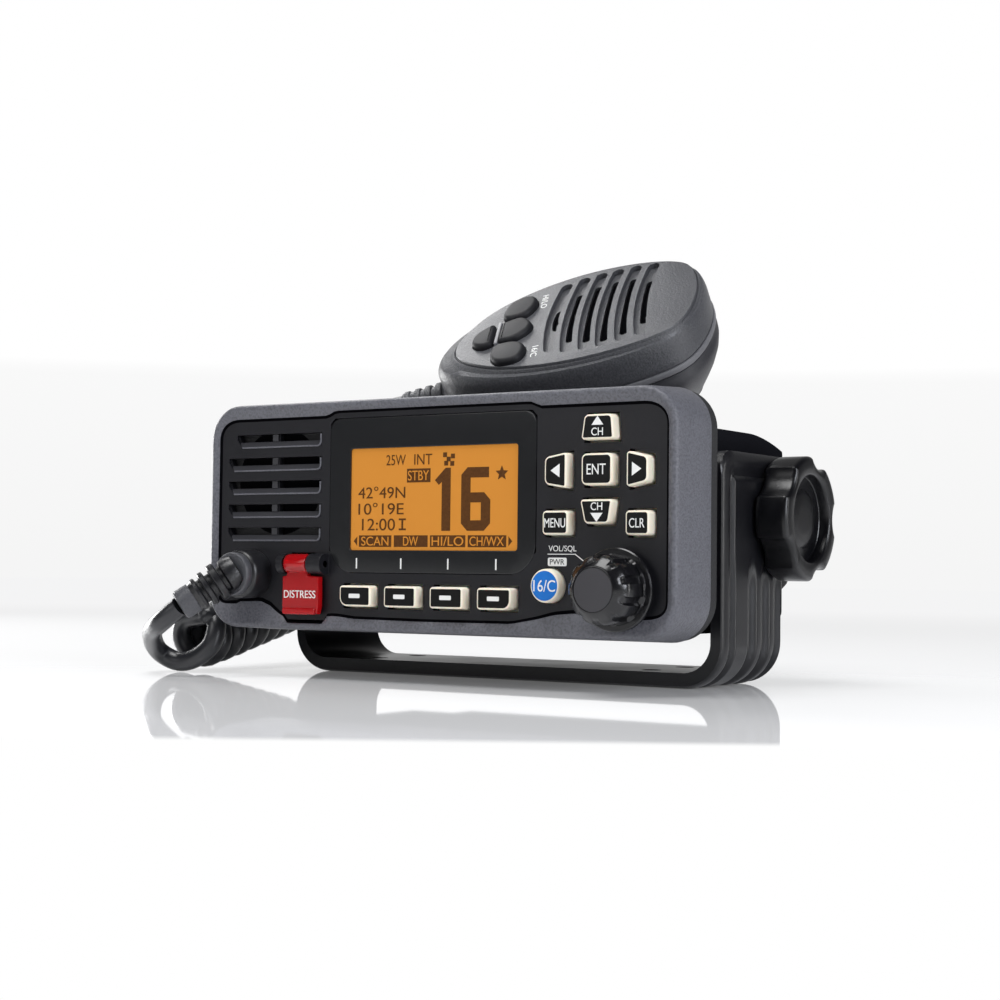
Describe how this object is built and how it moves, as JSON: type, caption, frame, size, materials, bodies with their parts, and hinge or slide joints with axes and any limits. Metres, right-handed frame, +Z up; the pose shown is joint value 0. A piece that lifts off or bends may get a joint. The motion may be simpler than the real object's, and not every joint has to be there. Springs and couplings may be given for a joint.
{
  "type": "marine vhf radio",
  "caption": "Fixed-mount marine VHF radio with display, keys and volume dial, held in a U bracket by side knobs, with a hand microphone on a curly cord.",
  "frame": {"origin": "centre of the underside of the mounting bracket's base", "axes": "+Z up, +Y towards the cooling fins at the back, +X to the right as seen from the front"},
  "size_m": [0.1878, 0.1454, 0.1271],
  "materials": {
    "bezel_plastic": "fine texture",
    "panel_plastic": "satin",
    "black_plastic": "satin",
    "grey_plastic": "fine texture",
    "dark_plastic": "fine texture",
    "gloss_black": "gloss",
    "painted_metal": "satin",
    "cast_metal": "black powder coat",
    "gasket_rubber": "matt",
    "lens_black": "gloss",
    "display": "lit amber",
    "key_rubber": "satin with ivory rim",
    "key_blue": "satin with white rim",
    "ivory_rubber": "matt",
    "mic_key_rubber": "matt",
    "clear_red": "clear red plastic",
    "red_plastic": "satin",
    "steel": "satin",
    "nickel": "bright",
    "circuit_board": "satin",
    "component_grey": "satin",
    "cord_rubber": "satin"
  },
  "bodies": {
    "base": {"bracket": "painted_metal", "cord_curl": "cord_rubber"},
    "radio": {"friction_washers": "gasket_rubber", "bezel": "bezel_plastic", "front_panel": "panel_plastic", "front_gasket": "gasket_rubber", "chassis": "cast_metal", "case_screws": "steel", "antenna_jack": "nickel", "rear_lead_gland": "black_plastic", "ground_screw": "steel", "lens": "lens_black", "display_module": "display", "keypad_sheet": "ivory_rubber", "logic_board": "circuit_board", "main_board": "circuit_board", "shield_cover": "steel", "speaker": "component_grey", "encoder_body": "component_grey", "flap_pin": "steel", "gland_boss": "black_plastic", "gland_nut": "grey_plastic", "strain_relief": "black_plastic", "cord_lead": "cord_rubber"},
    "clamp_left": {"clamp_bolt_left": "steel", "clamp_knob_left": "black_plastic"},
    "clamp_right": {"clamp_bolt_right": "steel", "clamp_knob_right": "black_plastic"},
    "soft_key_1": {"soft_key_1": "key_rubber"},
    "soft_key_2": {"soft_key_2": "key_rubber"},
    "soft_key_3": {"soft_key_3": "key_rubber"},
    "soft_key_4": {"soft_key_4": "key_rubber"},
    "key_up": {"key_up": "key_rubber"},
    "key_down": {"key_down": "key_rubber"},
    "key_left": {"key_left": "key_rubber"},
    "key_right": {"key_right": "key_rubber"},
    "key_enter": {"key_enter": "key_rubber"},
    "key_menu": {"key_menu": "key_rubber"},
    "key_clear": {"key_clear": "key_rubber"},
    "key_16": {"key_16": "key_blue"},
    "dial_push": {"encoder_shaft": "steel"},
    "dial": {"volume_dial": "gloss_black", "dial_cap": "grey_plastic"},
    "flap": {"distress_flap": "clear_red"},
    "distress_button": {"distress_button": "red_plastic"},
    "mic": {"mic_front_shell": "grey_plastic", "mic_rear_shell": "dark_plastic", "ptt_switch": "component_grey", "mic_element": "component_grey", "mic_board": "circuit_board", "mic_screws": "steel", "hanger_stud": "steel", "mic_strain_relief": "black_plastic", "cord_tail": "cord_rubber"},
    "mic_key_power": {"mic_key_power": "mic_key_rubber"},
    "mic_key_down": {"mic_key_down": "mic_key_rubber"},
    "mic_key_up": {"mic_key_up": "mic_key_rubber"},
    "mic_key_16": {"mic_key_16": "mic_key_rubber"},
    "ptt": {"ptt_bar": "dark_plastic"}
  },
  "joints": [
    {"name": "tilt", "type": "hinge", "parent": "base", "child": "radio", "pos_m": [0, 0.01635, 0.0467], "axis": [1, 0, 0], "range_deg": [-20, 10], "deforming": ["cord_lead", "cord_curl"]},
    {"name": "clamp_left_turn", "type": "hinge", "parent": "radio", "child": "clamp_left", "pos_m": [-0.078, 0.01635, 0.0467], "axis": [1, 0, 0], "continuous": true},
    {"name": "clamp_right_turn", "type": "hinge", "parent": "radio", "child": "clamp_right", "pos_m": [0.078, 0.01635, 0.0467], "axis": [1, 0, 0], "continuous": true},
    {"name": "soft_key_1_press", "type": "slide", "parent": "radio", "child": "soft_key_1", "axis": [0, 1, 0], "range_m": [0, 0.0008], "stiffness_N_per_m": 400},
    {"name": "soft_key_2_press", "type": "slide", "parent": "radio", "child": "soft_key_2", "axis": [0, 1, 0], "range_m": [0, 0.0008], "stiffness_N_per_m": 400},
    {"name": "soft_key_3_press", "type": "slide", "parent": "radio", "child": "soft_key_3", "axis": [0, 1, 0], "range_m": [0, 0.0008], "stiffness_N_per_m": 400},
    {"name": "soft_key_4_press", "type": "slide", "parent": "radio", "child": "soft_key_4", "axis": [0, 1, 0], "range_m": [0, 0.0008], "stiffness_N_per_m": 400},
    {"name": "key_up_press", "type": "slide", "parent": "radio", "child": "key_up", "axis": [0, 1, 0], "range_m": [0, 0.0008], "stiffness_N_per_m": 400},
    {"name": "key_down_press", "type": "slide", "parent": "radio", "child": "key_down", "axis": [0, 1, 0], "range_m": [0, 0.0008], "stiffness_N_per_m": 400},
    {"name": "key_left_press", "type": "slide", "parent": "radio", "child": "key_left", "axis": [0, 1, 0], "range_m": [0, 0.0008], "stiffness_N_per_m": 400},
    {"name": "key_right_press", "type": "slide", "parent": "radio", "child": "key_right", "axis": [0, 1, 0], "range_m": [0, 0.0008], "stiffness_N_per_m": 400},
    {"name": "key_enter_press", "type": "slide", "parent": "radio", "child": "key_enter", "axis": [0, 1, 0], "range_m": [0, 0.0008], "stiffness_N_per_m": 400},
    {"name": "key_menu_press", "type": "slide", "parent": "radio", "child": "key_menu", "axis": [0, 1, 0], "range_m": [0, 0.0008], "stiffness_N_per_m": 400},
    {"name": "key_clear_press", "type": "slide", "parent": "radio", "child": "key_clear", "axis": [0, 1, 0], "range_m": [0, 0.0008], "stiffness_N_per_m": 400},
    {"name": "key_16_press", "type": "slide", "parent": "radio", "child": "key_16", "axis": [0, 1, 0], "range_m": [0, 0.0008], "stiffness_N_per_m": 400},
    {"name": "dial_press", "type": "slide", "parent": "radio", "child": "dial_push", "axis": [0, 1, 0], "range_m": [0, 0.0006], "stiffness_N_per_m": 800},
    {"name": "dial_turn", "type": "hinge", "parent": "dial_push", "child": "dial", "pos_m": [0.0608, -0.06065, 0.0268], "axis": [0, 1, 0], "continuous": true},
    {"name": "flap_open", "type": "hinge", "parent": "radio", "child": "flap", "pos_m": [-0.042, -0.05405, 0.0326], "axis": [-1, 0, 0], "range_deg": [0, 100], "stiffness_Nm_per_rad": 0.002, "springref_deg": -11.46},
    {"name": "distress_press", "type": "slide", "parent": "radio", "child": "distress_button", "axis": [0, 1, 0], "range_m": [0, 0.001], "stiffness_N_per_m": 400},
    {"name": "mic_lift", "type": "slide", "parent": "radio", "child": "mic", "axis": [0, 0, 1], "range_m": [0, 0.05], "deforming": ["cord_tail"]},
    {"name": "mic_key_power_press", "type": "slide", "parent": "mic", "child": "mic_key_power", "axis": [-0.0203, 0.6192, -0.785], "range_m": [0, 0.0008], "stiffness_N_per_m": 400},
    {"name": "mic_key_down_press", "type": "slide", "parent": "mic", "child": "mic_key_down", "axis": [-0.0203, 0.6192, -0.785], "range_m": [0, 0.0008], "stiffness_N_per_m": 400},
    {"name": "mic_key_up_press", "type": "slide", "parent": "mic", "child": "mic_key_up", "axis": [-0.0203, 0.6192, -0.785], "range_m": [0, 0.0008], "stiffness_N_per_m": 400},
    {"name": "mic_key_16_press", "type": "slide", "parent": "mic", "child": "mic_key_16", "axis": [-0.0203, 0.6192, -0.785], "range_m": [0, 0.0008], "stiffness_N_per_m": 400},
    {"name": "ptt_press", "type": "slide", "parent": "mic", "child": "ptt", "axis": [0.3326, -0.7362, -0.5894], "range_m": [0, 0.0015], "stiffness_N_per_m": 400}
  ]
}
